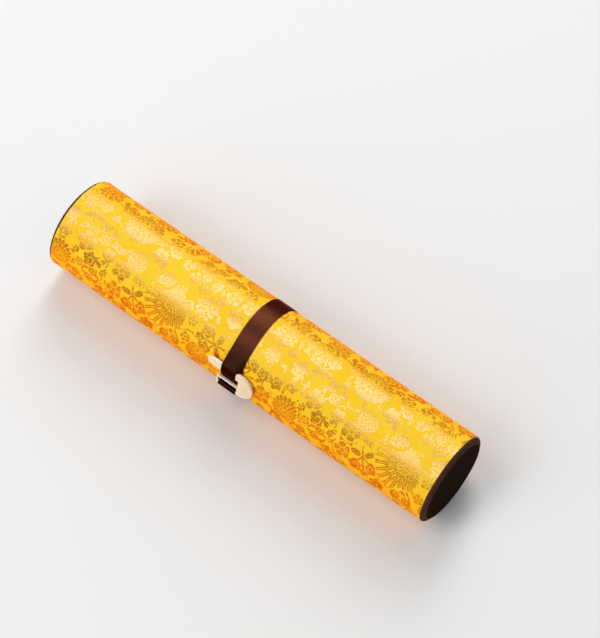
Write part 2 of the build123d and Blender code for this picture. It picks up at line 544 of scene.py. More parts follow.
    def leaf(self) -> Signal:
        """A curled leaf with a side lobe, on a short stem.

        Returns:
            The leaf's mask.
        """
        x, y = self.x, self.y
        stem = self.stroke(x + y * y * 0.45 - 0.12, 1.4) * y.below(-0.3) * y.above(-0.95)
        lobe, _ = self.polar((x + 0.56) * 1.1, (y + 0.42) * 1.7)
        return self.head(x - 0.1, y - 0.18, 0.72).max(stem).max(lobe.below(0.36))

    def sprig(self) -> Signal:
        """A forked stem with three curled heads and two leaves.

        Returns:
            The sprig's mask.
        """
        side, y = abs(self.x), self.y
        heads = self.head(side - 0.53, y - 0.28, 0.42).max(self.head(self.x, y - 0.68, 0.28))
        leaves, _ = self.polar((side - 0.4) * 1.1, (y + 0.42 + side * 0.3) * 1.9)
        stem = self.stroke(self.x, 1.4) * y.above(-0.95) * y.below(0.5)
        arms = self.stroke((y + 0.35 - side * 0.95) * 0.72, 1.3) * side.below(0.4)
        return heads.max(leaves.below(0.34)).max(stem).max(arms)

    def blade(self, long: Signal, wide: float) -> Signal:
        """One leaf, from its foot at y 0 to its tip at y long.

        Args:
            long: The leaf's length.
            wide: Its half width.

        Returns:
            The leaf's mask, with its rib and veins left open.
        """
        off, share = abs(self.x), self.y / long
        body = (share.flipped() * share).max(0.0).sqrt() * (2.0 * wide)
        lobes = (share * 22.0 - off * 9.0).cos() * 0.14 + 0.9
        veins = (share * 3.5 - off * (0.8 / wide)).off_half().above(0.1, 0.08)
        return self.inside(body * lobes - off) * self.inside(off, 0.25) * veins

    @classmethod
    def foliage(cls, bench: Bench, place: Socket, cell_mm: float = 9.5) -> Signal:
        """The small leaves and stems that fill the ground.

        Args:
            bench: The bench that they are drawn on.
            place: The place on the cloth in millimetres.
            cell_mm: The room that each leaf has.

        Returns:
            The mask of them.
        """
        x, y, _ = bench.split(place)
        inputs = {"Vector": bench.join(x / cell_mm, y / cell_mm), "Scale": 1.0, "Randomness": 0.85}
        cells = bench.node("TexVoronoi", inputs, feature="F1", voronoi_dimensions="2D")
        cx, cy, _ = bench.split(cells.outputs["Position"])
        random, other, _ = bench.split(cells.outputs["Color"])
        dx, dy = x / cell_mm - cx, y / cell_mm - cy
        turn = random * math.tau
        cos, sin = turn.cos(), (turn - math.pi / 2).cos()
        leaf = cls(dx * cos + dy * sin, dy * cos - dx * sin + 0.5, cell_mm)
        off_stem = abs(bench.noise(bench.join(x, y, 4.0), 1.0 / 17.0, 0.6) - 0.5)
        leaves = leaf.blade(other * 0.2 + 0.9, 0.34) * off_stem.below(0.062, 0.03)
        return leaves.max(off_stem.below(0.012, 0.008))


@dataclass
class BrocadePattern:
    """The brocade's repeat: its figures, and which of them each place on the cloth belongs to.

    Attributes:
        repeat_mm: The repeat along the roll and round it.
        seed: What the fillers are drawn from.
        tries: How many places are tried for a filler.
        start_mm: Where the repeat starts along the roll.
        stop_deg: Where it stops round the roll.
        fillers: The kinds of fillers, one for each number drawn.
        filler_reach_mm: A filler's radius before it is varied.
        filler_room: How much clear room a filler needs, as a share of its radius.
        shade_step: How much the shade differs from one figure to the next.
        figures: The figures laid out.
    """

    repeat_mm: tuple[float, float] = (213.0, 120.0)
    seed: int = 12
    tries: int = 1500
    start_mm: float = -172.5
    stop_deg: float = 187.0
    fillers: tuple = (Motif.LEAF, Motif.BLOSSOM, Motif.CURL, Motif.LEAF)
    filler_reach_mm: float = 5.6
    filler_room: float = 0.8
    shade_step: float = 0.618
    figures: list[Figure] = field(default_factory=list)

    def lay_out(self) -> None:
        """Place the repeat's main figures as listed, and small leaves and blossoms between them."""
        kinds = dict(zip("CPBRKSLD", Motif))
        rows = """
            C -118 107 15 200, R -50 94 10.5 -8, K -61 114 8 40, D -70 41 20 130, C -105 67 8.5 150,
            P -77 67 8.5 0, P -40 69 10 30, B -29 97 7.5 0, B -14 99 7.5 20, L -18 77 9 -110,
            L -92 88 9.5 100, S -156 93 13 20, B -147 54 9 0, L -137 38 9 140, L -126 51 8 30,
            B -112 48 8.5 40, S -25 38 14 95, S -94 22 14 -160, P 20 97 10.5 0, P 21 69 7 0,
            K 44 103 8 90, L -87 103 7.5 -60, L -168 70 9 60, L 12 43 7.5 0, L 23 40 7.5 30,
            L 33 43 7.5 -60, C -165 21 11 20, B -112 20 8 0, C -32 10 11 180, K -135 18 9 0,
            R -58 12 10 175, L 5 20 9 30, B 27 17 9 0, K -138 73 9.5 60, B -61 92 6 0,
            L -138 118 10 -80, B -92 118 6.5 0, L -36 117 9 160, K 2 119 9 20, S 22 122 10 -80,
            P -158 125 11 0, C -160 151 12 0, S -135 146 11 90, P -110 141 11 0, L -90 138 9 0,
            R -69 141 10.5 180, B -47 140 9 0, C -22 143 13 0, L 4 146 9 -70, P 29 150 12 0,
            K -90 163 10 0, S -62 166 11 -70, L -34 170 9 60, B -128 168 10 0, K -5 170 9 90,
            B 3 60 6.5 0, K -150 0 9 0, L -80 0 9 0, B 0 0 9 0
        """
        for entry in rows.split(","):
            letter, *numbers = entry.split()
            self.figures.append(Figure(kinds[letter], *map(float, numbers)))
        random = np.random.default_rng(self.seed)
        for _ in range(self.tries):
            x = random.uniform(self.start_mm, self.start_mm + self.repeat_mm[0])
            turn = random.uniform(0.0, self.stop_deg)
            kind = self.fillers[int(random.integers(len(self.fillers)))]
            reach = self.filler_reach_mm * random.uniform(0.75, 1.1)
            filler = Figure(kind, x, turn, reach, random.uniform(0.0, 360.0))
            gaps = [self.apart(f, x, filler.round_mm) - f.reach_mm for f in self.figures]
            if min(gaps) > reach * self.filler_room:
                self.figures.append(filler)

    def wrap(self, offset: np.ndarray | float, side: int) -> np.ndarray | float:
        """An offset along the roll (side 0) or round it (side 1) within the nearest repeat."""
        period = self.repeat_mm[side]
        return (offset + period / 2) % period - period / 2

    def apart(
        self, figure: Figure, x: np.ndarray | float, s: np.ndarray | float
    ) -> np.ndarray | float:
        """How far places along and round the cloth lie from a figure's middle, in millimetres."""
        return np.hypot(self.wrap(x - figure.x_mm, 0), self.wrap(s - figure.round_mm, 1))

    def assign(self, x: np.ndarray, s: np.ndarray) -> tuple[np.ndarray, np.ndarray]:
        """Give each face its figure, and each corner its place in that figure's unit disc.

        Args:
            x: The corners' places along the roll in millimetres, one row for each face.
            s: The same round the roll.

        Returns:
            The corners' x, y and kind, and how clear they are of the next figure, their figure's
            reach and its shade.
        """
        facts = [(f.x_mm, f.round_mm, f.reach_mm, f.tilt_deg, f.kind.value) for f in self.figures]
        mid_x, mid_s = x.mean(axis=1), s.mean(axis=1)
        nearness = [self.apart(f, mid_x, mid_s) / f.reach_mm for f in self.figures]
        chosen = np.argmin(nearness, axis=0)[:, None]
        home_x, home_s, reach, tilt, kind = np.array(facts, float).T[:, chosen]
        mid_x, mid_s = mid_x[:, None], mid_s[:, None]
        dx = x - (mid_x - self.wrap(mid_x - home_x, 0))
        ds = s - (mid_s - self.wrap(mid_s - home_s, 1))
        cos, sin = np.cos(np.radians(tilt)), np.sin(np.radians(tilt))
        own_x, own_y = (dx * cos + ds * sin) / reach, (ds * cos - dx * sin) / reach
        nearest = np.full(x.shape, FAR_MM)
        for number, figure in enumerate(self.figures):
            distance = self.apart(figure, x, s) - figure.reach_mm
            nearest = np.minimum(nearest, np.where(chosen == number, FAR_MM, distance))
        gap = nearest - (np.hypot(own_x, own_y) - 1.0) * reach
        shade = (chosen * self.shade_step) % 1.0
        figure, seat = (own_x, own_y, kind), (gap, reach, shade)
        return tuple(np.stack(np.broadcast_arrays(*parts), -1) for parts in (figure, seat))


@dataclass(frozen=True)
class Finish:
    """A procedural finish: a material built from the colours and sizes in its fields."""

    name: str = "finish"

    def material(self) -> bpy.types.Material:
        """Make the material.

        Returns:
            The new material, with its nodes.
        """
        made = bpy.data.materials.new(self.name)
        made.use_nodes = True
        made.node_tree.nodes.clear()
        bench = Bench(made.node_tree)
        shader = bench.node("BsdfPrincipled")
        end = bench.node("OutputMaterial", {"Surface": shader.outputs[0]})
        end.is_active_output = True
        self.dress(bench, shader)
        return made

    def dress(self, bench: Bench, shader: Node) -> None:
        """Feed the shader. Each finish has its own."""
        raise NotImplementedError


@dataclass(frozen=True)
class BrocadeFinish(Finish):
    """Yellow silk satin with figures in gold thread."""

    name: str = "brocade"
    ground: tuple = (0.895, 0.605, 0.036)
    ground_deep: tuple = (0.9, 0.54, 0.02)
    # Painted light: these orange colours for the ground and the thread low on the roll stand for
    # warm bounced light, put into the colour.
    ground_painted_bounce: tuple = (0.96, 0.44, 0.006)
    thread: tuple = (0.47, 0.157, 0.01)
    thread_dark: tuple = (0.22, 0.044, 0.0027)
    # Painted light: the paler tan thread on top of the roll, where the top takes the light.
    thread_painted_top_light: tuple = (0.56, 0.32, 0.035)
    thread_pale: tuple = (0.72, 0.42, 0.07)
    thread_painted_bounce: tuple = (0.94, 0.17, 0.004)
    thread_pitch_mm: float = 0.42
    height_lean: float = 0.21
    ragged_mm: float = 0.9
    top_light_above_mm: float = 69.0
    painted_bounce_below_mm: float = 67.0
    thread_painted_bounce_below_mm: float = 63.0

    def figures(self, bench: Bench, x: Signal, y: Signal) -> tuple[Signal, Signal]:
        """Draw the figures, each in its own unit disc, and the foliage between them.

        Args:
            bench: The material's bench.
            x: The place along the roll in millimetres.
            y: The place round the roll in millimetres.

        Returns:
            The gold thread's mask and a shade that differs from figure to figure.
        """
        (lx, ly, kind), (gap, reach, shade) = (
            bench.split(bench.node("Attribute", attribute_name=name).outputs["Vector"])
            for name in ("figure", "figure_seat")
        )
        ragged = [bench.noise(bench.join(x, y, level), 0.42) - 0.5 for level in (1.0, 9.0)]
        lx, ly = (
            part + off * (self.ragged_mm * 2.0) / reach for part, off in zip((lx, ly), ragged)
        )

        def drawn(tree: Tree, inputs: dict) -> Signal:
            """The mask of a node group."""
            return bench.signal(bench.node("Group", inputs, node_tree=tree).outputs[0])

        first, *others = (
            drawn(FigureDrawer.group(motif), {"X": lx, "Y": ly, "Reach": reach})
            * kind.math("COMPARE", motif.value, 0.4)
            for motif in Motif
        )
        mask = sum(others, first) * gap.above(0.5, 0.3)
        foliage = mask_group("foliage", {"Place": "Vector"}, FigureDrawer.foliage)
        warped = (part + off * self.ragged_mm for part, off in zip((x, y), ragged))
        filling = drawn(foliage, {"Place": bench.join(*warped)})
        r, _ = FigureDrawer.polar(lx, ly)
        return mask.max(filling * ((r - 1.0) * reach).above(0.5, 0.3)), shade

    def dress(self, bench: Bench, shader: Node) -> None:
        """Lay the gold figures over the satin and give both their threads.

        Args:
            bench: The material's bench.
            shader: The shader to feed.
        """
        x, y = (part / MM for part in bench.cloth())
        mask, shade = self.figures(bench, x, y)
        ribs = (y / self.thread_pitch_mm * math.tau).wave()
        floats = bench.noise(bench.join(x * 0.45, y * 2.4, 3.0), detail=1.0)
        fleck = bench.noise(bench.join(x * 0.75, y * 1.15, 5.0), detail=1.0)
        worn = bench.noise(bench.join(x, y, 2.0), 0.035, 3.0)
        mottle = bench.noise(bench.join(x, y, 14.0), 0.8, 1.0)
        _, across, up = bench.split(bench.place())
        # A height that leans lower towards the back; it sets where the painted bounce light lies
        # below and the paler top lies above.
        leaned_height = (up - across * self.height_lean) / MM
        mask = mask * fleck.above(0.47, 0.22).blend(0.46, 1.0)
        ground = bench.mix(worn.above(0.5, 0.5), self.ground_deep, self.ground)
        # Painted bounce light: low on the roll the ground turns orange, with a ragged edge.
        lower = (leaned_height + worn * 18.0).below(self.painted_bounce_below_mm, 24.0)
        ground = bench.mix(lower * 0.9, ground, self.ground_painted_bounce)
        tone = (mottle.above(0.46, 0.3) * 0.75 + shade * 0.35).min(1.0)
        thread = bench.mix(tone, self.thread_dark, self.thread)
        # Painted light: above this height the thread is paler and less metallic, as the top of the
        # roll takes the light.
        high = leaned_height.above(self.top_light_above_mm, 8.0)
        thread = bench.mix(high * 0.7, thread, self.thread_painted_top_light)
        thread = bench.mix(floats.above(0.6, 0.2) * 0.4, thread, self.thread_pale)
        # Painted bounce light on the gold thread too, low on the roll.
        thread_bounce_share = (leaned_height + worn * 8.0).below(self.thread_painted_bounce_below_mm, 12.0)
        thread = bench.mix(thread_bounce_share * 0.85, thread, self.thread_painted_bounce)
        relief = mask * 0.05 + ribs * 0.014 + floats * mask * 0.04 + worn * 0.05
        bench.feed(shader, {
            "Base Color": bench.mix(mask, ground, thread),
            "Metallic": mask * high.blend(0.95, 0.5),
            "Roughness": mask * -0.34 + 0.66,
            "Normal": bench.bump(relief, 0.7),
            "Coat Weight": mask * leaned_height.above(self.top_light_above_mm, 6.0),
            "Coat Roughness": 0.24,
            "Coat IOR": 1.7,
            "Specular IOR Level": 0.06,
            "Specular Tint": (1.0, 0.48, 0.06, 1.0),
        })


@dataclass(frozen=True)
class PaperEdgeFinish(Finish):
    """The wound edges of the paper at the roll's ends."""

    name: str = "paper_edge"
    paper: tuple = (0.78, 0.68, 0.48)
    shade: tuple = (0.5, 0.38, 0.2)
    sheet_mm: float = 0.45

    def dress(self, bench: Bench, shader: Node) -> None:
        """Draw the turns as fine rings.

        Args:
            bench: The material's bench.
            shader: The shader to feed.
        """
        _, y, z, r = bench.from_axis()
        turn = z.math("ARCTAN2", y) / math.tau
        wound = (r / (self.sheet_mm * MM) + turn).off_half() * 2.0
        fibre = bench.noise(bench.place(), 900.0)
        bench.feed(shader, {
            "Base Color": bench.mix(wound.above(0.7, 0.3) * fibre, self.paper, self.shade),
            "Roughness": fibre.blend(0.75, 0.95),
            "Normal": bench.bump(wound * -0.08 + fibre * 0.03),
        })


@dataclass(frozen=True)
class LacquerFinish(Finish):
    """Dark satin lacquer on turned wood, with a painted highlight: the rim is lighter, as it
    catches the light.
    """

    name: str = "dark_lacquer"
    body: tuple = (0.01, 0.0035, 0.0015)
    grain: tuple = (0.02, 0.008, 0.004)
    # Painted highlight: the lighter colour of the rim, where it catches the light.
    rim_highlight: tuple = (0.092, 0.043, 0.023)
    rim_from_mm: float = 32.2

    def dress(self, bench: Bench, shader: Node) -> None:
        """Draw the grain along the wood and paint a highlight on the rim.

        Args:
            bench: The material's bench.
            shader: The shader to feed.
        """
        x, y, z, r = bench.from_axis()
        r = r / MM
        fine = bench.grain((x, y, z), (300.0, 1700.0, 120.0), 3.0)
        broad = bench.grain((x, y, z), (60.0, 260.0, 25.0))
        turned = (r * 9.0 + broad).wave()
        colour = bench.mix(fine.above(0.52, 0.3) * 0.8, self.body, self.grain)
        # Painted highlight: the rounded rim is lighter, as it catches the light.
        rim = r.above(self.rim_from_mm, 0.8) * broad.blend(0.5, 1.1).min(1.0)
        bench.feed(shader, {
            "Base Color": bench.mix(rim, colour, self.rim_highlight),
            "Roughness": fine.blend(0.72, 0.86) - rim * 0.22,
            "Normal": bench.bump(fine * 0.03 + turned * 0.006),
            "Specular IOR Level": 0.01,
            "Specular Tint": (1.0, 0.55, 0.35, 1.0),
        })


@dataclass(frozen=True)
class PlainWoodFinish(Finish):
    """Planed softwood, as the stave and the rod are."""

    name: str = "plain_wood"
    early: tuple = (0.56, 0.36, 0.18)
    late: tuple = (0.36, 0.19, 0.08)

    def dress(self, bench: Bench, shader: Node) -> None:
        """Draw the grain along X.

        Args:
            bench: The material's bench.
            shader: The shader to feed.
        """
        x, y, z = bench.split(bench.place())
        bend = bench.grain((x, y, z), (6.0, 60.0, 60.0))
        rings = (y * 2600.0 + z * 1500.0 + bend * 9.0).wave()
        fibre = bench.grain((x, y, z), (90.0, 2600.0, 2600.0))
        bench.feed(shader, {
            "Base Color": bench.mix(rings * fibre.blend(0.5, 1.2), self.early, self.late),
            "Roughness": fibre.blend(0.5, 0.75),
            "Normal": bench.bump(fibre * 0.05 + rings * 0.02),
        })


@dataclass(frozen=True)
class RibbonFinish(Finish):
    """Dark brown ribbon with a fine cross rib and a soft sheen."""

    name: str = "brown_ribbon"
    yarn: tuple = (0.1, 0.028, 0.0145)
    yarn_deep: tuple = (0.04, 0.011, 0.0055)
    # Painted shade: the ribbon darkens low on the roll, where it gets less light.
    painted_shade: tuple = (0.018, 0.0055, 0.003)
    painted_shade_below_mm: float = 68.0
    rib_pitch_mm: float = 0.62
    warp_pitch_mm: float = 0.36
    half_width_mm: float = 7.8
    selvedge_mm: float = 0.9

    def dress(self, bench: Bench, shader: Node) -> None:
        """Weave the ribs, the crossing warp and the two selvedges.

        Args:
            bench: The material's bench.
            shader: The shader to feed.
        """
        u, v = bench.cloth()
        selvedge = (abs(u) / MM).above(self.half_width_mm - self.selvedge_mm, 0.2)
        yarns = u / (self.warp_pitch_mm * MM)
        warp = (yarns * math.tau).wave()
        lean = yarns.math("FLOOR") * 0.5
        ribs = ((v / (self.rib_pitch_mm * MM) + lean) * math.tau).wave()
        fuzz = bench.grain((u, v), (1500.0, 1500.0))
        broad = bench.grain((u, v), (90.0, 45.0))
        raised = (ribs * 0.6 + warp * 0.25 + fuzz * 0.3) * broad.blend(0.85, 1.15)
        # Painted shade: the ribbon turns darker below this height.
        low = (bench.split(bench.place())[2] / MM).below(self.painted_shade_below_mm, 14.0)
        colour = bench.mix(raised, self.yarn_deep, self.yarn)
        relief = ribs * 0.05 + warp * 0.03 + fuzz * 0.03 + selvedge * 0.08
        bench.feed(shader, {
            "Base Color": bench.mix(low * 0.85, colour, self.painted_shade),
            "Metallic": 0.8,
            "Roughness": fuzz.blend(0.22, 0.3),
            "Normal": bench.bump(relief, 0.4),
            "Specular IOR Level": 0.02,
            "Specular Tint": (0.6, 0.13, 0.02, 1.0),
        })


@dataclass(frozen=True)
class IvoryFinish(Finish):
    """Polished ivory-coloured bone imitation."""

    name: str = "ivory"
    body: tuple = (0.81, 0.71, 0.56)
    warm: tuple = (0.8, 0.58, 0.34)

    def dress(self, bench: Bench, shader: Node) -> None:
        """Cloud the body faintly and keep the polish soft.

        Args:
            bench: The material's bench.
            shader: The shader to feed.
        """
        x, y, z = bench.split(bench.place())
        cloud = bench.grain((x, y, z), (160.0, 160.0, 60.0), 3.0)
        streak = bench.grain((x, y, z), (300.0, 2000.0, 2000.0))
        head = (x / MM).above(8.0, 16.0)
        share = cloud.above(0.55, 0.5) * 0.5 + streak * 0.15 + head * 0.5
        bench.feed(shader, {
            "Base Color": bench.mix(share.min(1.0), self.body, self.warm),
            "Roughness": cloud.blend(0.22, 0.36),
            "Normal": bench.bump(cloud * 0.02 + streak * 0.008),
            "Subsurface Weight": 0.25,
            "Subsurface Radius": (0.004, 0.0025, 0.0012),
            "Subsurface Scale": 0.4,
            "Coat Weight": 0.2,
            "Coat Roughness": 0.15,
        })


@dataclass(frozen=True)
class FloorFinish(Finish):
    """A matt white studio floor that runs out into the white far off."""

    name: str = "studio_floor"
    paint: tuple = (0.8, 0.8, 0.8)
    paint_deep: tuple = (0.768, 0.768, 0.768)
    runs_out_m: float = 1.6
    run_out_width_m: float = 1.4

    def dress(self, bench: Bench, shader: Node) -> None:
        """Grain the paint faintly and let it run out into the white world.

        Args:
            bench: The material's bench.
            shader: The shader to feed.
        """
        place = bench.place()
        colour = bench.mix(bench.noise(place, 400.0) * 0.1, self.paint, self.paint_deep)
        bench.feed(shader, {"Base Color": colour, "Roughness": 0.9})
        x, y, _ = bench.split(place)
        far = (x * x + y * y).sqrt().above(self.runs_out_m, self.run_out_width_m)
        share = bench.seen_by("Camera", "Glossy") * far
        white = bench.node("Emission", {"Color": WHITE, "Strength": 1.0})
        both = bench.node("MixShader", {0: share, 1: shader.outputs[0], 2: white.outputs[0]})
        end = next(node for node in bench.tree.nodes if node.type == "OUTPUT_MATERIAL")
        bench.feed(end, {"Surface": both.outputs[0]})


@dataclass
class RollShape:
    """The roll's section, in millimetres: two half circles, the hem's ridge and the flat spot."""

    length: float = 345.0
    front_radius: float = 36.5
    back_radius: float = 36.75
    hem_angle: float = -39.5
    hem_spread: float = 6.5
    hem_radius: float = 4.15
    hem_offset: float = 35.85
    bed_depth: float = 0.3
    bed_floor: float = 1.35

    @property
    def hem_foot(self) -> float:
        """The direction of the near foot of the hem's ridge, in degrees."""
        return self.hem_angle - self.hem_spread

    @property
    def step(self) -> float:
        """How much larger the back half circle is than the front one."""
        return self.back_radius - self.front_radius

    def radius(
        self, angle: np.ndarray, inset: np.ndarray | float = 0.0, floor: np.ndarray | float = 0.0
    ) -> np.ndarray:
        """How far the surface is from the axis.

        Args:
            angle: Directions in the section, in degrees from the back, by the top.
            inset: How much smaller the half circles are.
            floor: How high the flat spot lies.

        Returns:
            The distances.
        """
        to_hem = np.radians((angle - self.hem_angle + 180.0) % 360.0 - 180.0)
        along = self.step * np.cos(to_hem)
        rest = (self.back_radius - inset) ** 2 - self.step**2 + along**2
        back = along + np.sqrt(np.maximum(rest, 0.0))
        body = np.where(to_hem >= 0.0, back, self.front_radius - inset)
        off = self.hem_offset * np.sin(to_hem)
        rise = np.sqrt(np.maximum(self.hem_radius**2 - off**2, 0.0))
        on_hem = (np.abs(off) < self.hem_radius) & (np.abs(to_hem) < 1.0)
        ridge = np.where(on_hem, self.hem_offset * np.cos(to_hem) + rise, 0.0)
        down = -np.sin(np.radians(angle))
        low = np.where(down > 0.5, (AXIS_MM - floor) / np.maximum(down, 1e-6), FAR_MM)
        return np.minimum(np.maximum(body, ridge), low)


class Maker:
    """Ways to make and shape meshes with Blender's own operators."""

    @staticmethod
    def deselect() -> None:
        """Deselect every object."""
        if bpy.context.object and bpy.context.object.mode != "OBJECT":
            bpy.ops.object.mode_set(mode="OBJECT")
        bpy.ops.object.select_all(action="DESELECT")

    @classmethod
    def take(cls, piece: Piece) -> None:
        """Select one object alone and make it active.

        Args:
            piece: The object.
        """
        cls.deselect()
        piece.select_set(True)
        bpy.context.view_layer.objects.active = piece

    @staticmethod
    @contextmanager
    def editing() -> Iterator[None]:
        """Work on the active object in edit mode.

        Yields:
            Nothing. The object is back in object mode afterwards.
        """
        bpy.ops.object.mode_set(mode="EDIT")
        yield
        bpy.ops.object.mode_set(mode="OBJECT")

    @staticmethod
    def read(
        rows: bpy.types.bpy_prop_collection, name: str, width: int = 3, kind: type = float
    ) -> np.ndarray:
        """Read one property of a mesh's vertices, edges, corners or faces.

        Args:
            rows: The mesh's collection of them.
            name: The property.
            width: How many numbers it has.
            kind: What kind of numbers they are.

        Returns:
            The numbers, one row each.
        """
        flat = np.empty(len(rows) * width, kind)
        rows.foreach_get(name, flat)
        return flat.reshape(-1, width)

    @staticmethod
    def put(piece: Piece, points: np.ndarray) -> None:
        """Put the mesh's vertices at points in metres, one row each."""
        piece.data.vertices.foreach_set("co", points.ravel())
        piece.data.update()

    @classmethod
    def tube(cls, name: str, outline: np.ndarray, length: float, cuts: tuple = ()) -> Piece:
        """Extrude a closed outline along X into an open tube, centred on X 0.

        Args:
            name: The object's name.
            outline: The outline's y and z from the roll's axis, one row a point.
            length: The tube's length.
            cuts: The rounds of cuts across its length.

        Returns:
            The tube. All its sizes are given in millimetres.
        """
        cls.deselect()
        bpy.ops.mesh.primitive_circle_add(vertices=len(outline), radius=1.0)
        piece = bpy.context.object
        piece.name = piece.data.name = name
        y, z = outline.T
        cls.put(piece, np.column_stack([np.full(len(y), -length / 2), y, z + AXIS_MM]) * MM)
        with cls.editing():
            bpy.ops.mesh.select_all(action="SELECT")
            move = {"value": (length * MM, 0.0, 0.0)}
            bpy.ops.mesh.extrude_region_move(TRANSFORM_OT_translate=move)
        for count in cuts:
            cls.pick_edges(piece, lambda a, b: np.abs(a - b) > 1e-7)
            with cls.editing():
                bpy.ops.mesh.subdivide(number_cuts=count)
        return piece

    @classmethod
    def pick_edges(cls, piece: Piece, rule: Callable[[np.ndarray, np.ndarray], np.ndarray]) -> None:
        """Select the edges whose two ends keep a rule, and nothing else.

        Args:
            piece: The object, in object mode.
            rule: A function of the X of the edges' two ends that gives one truth an edge.
        """
        mesh = piece.data
        x = cls.read(mesh.vertices, "co")[:, 0]
        chosen = rule(*x[cls.read(mesh.edges, "vertices", 2, int)].T)
        bpy.context.view_layer.objects.active = piece
        with cls.editing():
            bpy.context.tool_settings.mesh_select_mode = (False, True, False)
            bpy.ops.mesh.select_all(action="DESELECT")
        mesh.edges.foreach_set("select", chosen)

    @classmethod
    def weld(cls, first: Piece, *others: Piece) -> None:
        """Join several objects into the first of them.

        Args:
            first: The object that stays.
            others: The objects that become part of it.
        """
        cls.take(first)
        for piece in others:
            piece.select_set(True)
        bpy.ops.object.join()

    @classmethod
    def close_end(cls, piece: Piece, x: float) -> None:
        """Fill between the loops of open edges that lie at one X.

        Args:
            piece: The object with the open edges.
            x: Their X in metres.
        """
        cls.pick_edges(piece, lambda a, b: np.maximum(np.abs(a - x), np.abs(b - x)) < 1e-6)
        with cls.editing():
            bpy.ops.mesh.fill(use_beauty=True)

    @classmethod
    def face_out(cls, piece: Piece, smooth_deg: float) -> None:
        """Turn every face outwards, and smooth the edges that bend less than an angle.

        Args:
            piece: The object.
            smooth_deg: The angle.
        """
        cls.take(piece)
        with cls.editing():
            bpy.ops.mesh.select_all(action="SELECT")
            bpy.ops.mesh.normals_make_consistent(inside=False)
        bpy.ops.object.shade_smooth_by_angle(angle=math.radians(smooth_deg))

    @staticmethod
    def dress(piece: Piece, *finishes: Finish) -> None:
        """Give an object the materials of its finishes, and no others.

        Args:
            piece: The object.
            finishes: Its finishes, in the order of its material slots.
        """
        piece.data.materials.clear()
        for finish in finishes:
            piece.data.materials.append(finish.material())


